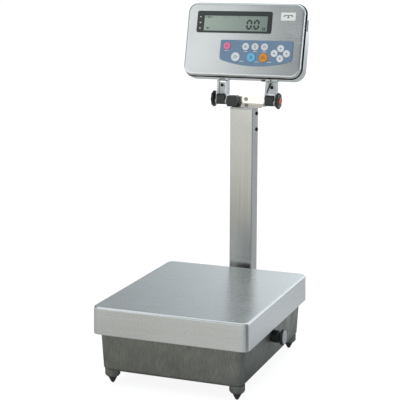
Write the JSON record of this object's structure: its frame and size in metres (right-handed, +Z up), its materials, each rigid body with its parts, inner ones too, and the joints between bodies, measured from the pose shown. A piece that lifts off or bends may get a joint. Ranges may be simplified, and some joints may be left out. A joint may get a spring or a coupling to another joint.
{
  "type": "bench scale",
  "caption": "Bench scale: steel pan lifting off a tub base on adjustable feet, rear column, and a tilting indicator head with display and keys.",
  "frame": {"origin": "middle of the footprint box at floor level, under the foot tips", "axes": "+Z up, -Y towards the user who reads the display, +X to the user's right"},
  "size_m": [0.3446, 0.4984, 0.75],
  "materials": {
    "pan_steel": "brushed stainless steel, long fine grain front to back, satin",
    "tub_steel": "satin stainless steel, bead-blasted darker grey",
    "column_steel": "brushed stainless steel, upright grain, satin",
    "head_steel": "brushed stainless steel, grain across the face, satin",
    "polished_steel": "polished stainless steel",
    "cast_aluminium": "machined aluminium, satin",
    "black_plastic": "moulded black plastic, fine texture",
    "black_rubber": "black rubber",
    "black_screw": "black oxide",
    "orange_plastic": "orange-red moulded plastic",
    "orange_key": "printed film",
    "blue_key": "printed film",
    "pink_key": "printed film",
    "white_key": "printed film",
    "slate_panel": "printed slate-blue polyester film, satin",
    "display_lens": "black-bordered acrylic",
    "liquid_crystal": "grey-green reflective liquid crystal display",
    "circuit_board": "solder resist",
    "white_label": "blank white label",
    "brown_plug": "brown plastic"
  },
  "bodies": {
    "base": {"base_tub": "tub_steel", "base_deck": "tub_steel", "load_cell": "cast_aluminium", "load_frame": "cast_aluminium", "pan_buffer_front_left": "black_rubber", "pan_buffer_front_right": "black_rubber", "pan_buffer_rear_left": "black_rubber", "pan_buffer_rear_right": "black_rubber", "lock_bush": "cast_aluminium", "base_gland": "black_plastic", "column_socket": "tub_steel", "column_tube": "column_steel", "column_tongue": "cast_aluminium", "column_screw_upper": "black_screw", "column_screw_lower": "black_screw", "cross_channel": "polished_steel", "channel_screw": "cast_aluminium", "cable_entry_block": "black_plastic", "pivot_rod": "cast_aluminium", "friction_block_left": "black_plastic", "friction_block_right": "black_plastic", "tilt_stop_arm": "cast_aluminium", "stop_screw": "black_screw"},
    "pan": {"weighing_pan": "pan_steel"},
    "foot_front_left": {"foot_front_left": "black_plastic"},
    "foot_front_right": {"foot_front_right": "black_plastic"},
    "foot_rear_left": {"foot_rear_left": "black_plastic"},
    "foot_rear_right": {"foot_rear_right": "black_plastic"},
    "transport_knob": {"transport_knob": "black_plastic", "transport_knob_face": "cast_aluminium", "lock_shaft": "cast_aluminium"},
    "lock_plunger": {"lock_plunger": "cast_aluminium"},
    "tilt_knob_left": {"tilt_knob_left": "black_plastic", "tilt_knob_cap_left": "orange_plastic"},
    "tilt_knob_right": {"tilt_knob_right": "black_plastic", "tilt_knob_cap_right": "orange_plastic"},
    "key_power": {"key_power": "pink_key"},
    "key_zero": {"key_zero": "white_key"},
    "key_unit": {"key_unit": "white_key"},
    "key_print": {"key_print": "white_key"},
    "key_memory": {"key_memory": "white_key"},
    "key_function": {"key_function": "blue_key"},
    "key_tare": {"key_tare": "orange_key"},
    "key_up": {"key_up": "white_key"},
    "key_left": {"key_left": "white_key"},
    "key_right": {"key_right": "white_key"},
    "key_down": {"key_down": "white_key"},
    "head": {"yoke": "head_steel", "yoke_screw": "black_screw", "front_panel": "head_steel", "gasket": "black_rubber", "rear_case": "head_steel", "display_window": "display_lens", "lcd_module": "liquid_crystal", "main_board": "circuit_board", "keypad_panel": "slate_panel", "label_plate": "white_label", "side_cover": "black_plastic", "vent_plug": "brown_plug", "head_gland": "black_plastic"}
  },
  "joints": [
    {"name": "pan_lift", "type": "slide", "parent": "base", "child": "pan", "axis": [0, 0, 1], "range_m": [0, 0.08]},
    {"name": "foot_front_left_adjust", "type": "slide", "parent": "base", "child": "foot_front_left", "axis": [0, 0, -1], "range_m": [0, 0.008]},
    {"name": "foot_front_right_adjust", "type": "slide", "parent": "base", "child": "foot_front_right", "axis": [0, 0, -1], "range_m": [0, 0.008]},
    {"name": "foot_rear_left_adjust", "type": "slide", "parent": "base", "child": "foot_rear_left", "axis": [0, 0, -1], "range_m": [0, 0.008]},
    {"name": "foot_rear_right_adjust", "type": "slide", "parent": "base", "child": "foot_rear_right", "axis": [0, 0, -1], "range_m": [0, 0.008]},
    {"name": "transport_knob_turn", "type": "hinge", "parent": "base", "child": "transport_knob", "pos_m": [0.14625, -0.05344, 0.082], "axis": [-1, 0, 0], "range_deg": [0, 720]},
    {"name": "lock_plunger_slide", "type": "slide", "parent": "base", "child": "lock_plunger", "axis": [-1, 0, 0], "range_m": [0, 0.0031]},
    {"name": "head_tilt", "type": "hinge", "parent": "base", "child": "head", "pos_m": [-0.00654, 0.20756, 0.537], "axis": [-1, 0, 0], "range_deg": [-14, 30]},
    {"name": "tilt_knob_left_turn", "type": "hinge", "parent": "base", "child": "tilt_knob_left", "pos_m": [-0.07655, 0.20756, 0.537], "axis": [-1, 0, 0], "range_deg": [0, 270]},
    {"name": "tilt_knob_right_turn", "type": "hinge", "parent": "base", "child": "tilt_knob_right", "pos_m": [0.06345, 0.20756, 0.537], "axis": [1, 0, 0], "range_deg": [0, 270]},
    {"name": "key_power_press", "type": "slide", "parent": "head", "child": "key_power", "axis": [0, 0.9679, -0.2512], "range_m": [0, 0.0005], "stiffness_N_per_m": 2000},
    {"name": "key_zero_press", "type": "slide", "parent": "head", "child": "key_zero", "axis": [0, 0.9679, -0.2512], "range_m": [0, 0.0005], "stiffness_N_per_m": 2000},
    {"name": "key_unit_press", "type": "slide", "parent": "head", "child": "key_unit", "axis": [0, 0.9679, -0.2512], "range_m": [0, 0.0005], "stiffness_N_per_m": 2000},
    {"name": "key_print_press", "type": "slide", "parent": "head", "child": "key_print", "axis": [0, 0.9679, -0.2512], "range_m": [0, 0.0005], "stiffness_N_per_m": 2000},
    {"name": "key_memory_press", "type": "slide", "parent": "head", "child": "key_memory", "axis": [0, 0.9679, -0.2512], "range_m": [0, 0.0005], "stiffness_N_per_m": 2000},
    {"name": "key_function_press", "type": "slide", "parent": "head", "child": "key_function", "axis": [0, 0.9679, -0.2512], "range_m": [0, 0.0005], "stiffness_N_per_m": 2000},
    {"name": "key_tare_press", "type": "slide", "parent": "head", "child": "key_tare", "axis": [0, 0.9679, -0.2512], "range_m": [0, 0.0005], "stiffness_N_per_m": 2000},
    {"name": "key_up_press", "type": "slide", "parent": "head", "child": "key_up", "axis": [0, 0.9679, -0.2512], "range_m": [0, 0.0005], "stiffness_N_per_m": 2000},
    {"name": "key_left_press", "type": "slide", "parent": "head", "child": "key_left", "axis": [0, 0.9679, -0.2512], "range_m": [0, 0.0005], "stiffness_N_per_m": 2000},
    {"name": "key_right_press", "type": "slide", "parent": "head", "child": "key_right", "axis": [0, 0.9679, -0.2512], "range_m": [0, 0.0005], "stiffness_N_per_m": 2000},
    {"name": "key_down_press", "type": "slide", "parent": "head", "child": "key_down", "axis": [0, 0.9679, -0.2512], "range_m": [0, 0.0005], "stiffness_N_per_m": 2000}
  ],
  "couplings": [
    {"joint": "lock_plunger_slide", "follows": "transport_knob_turn", "m_per_rad": 0.00023873}
  ]
}
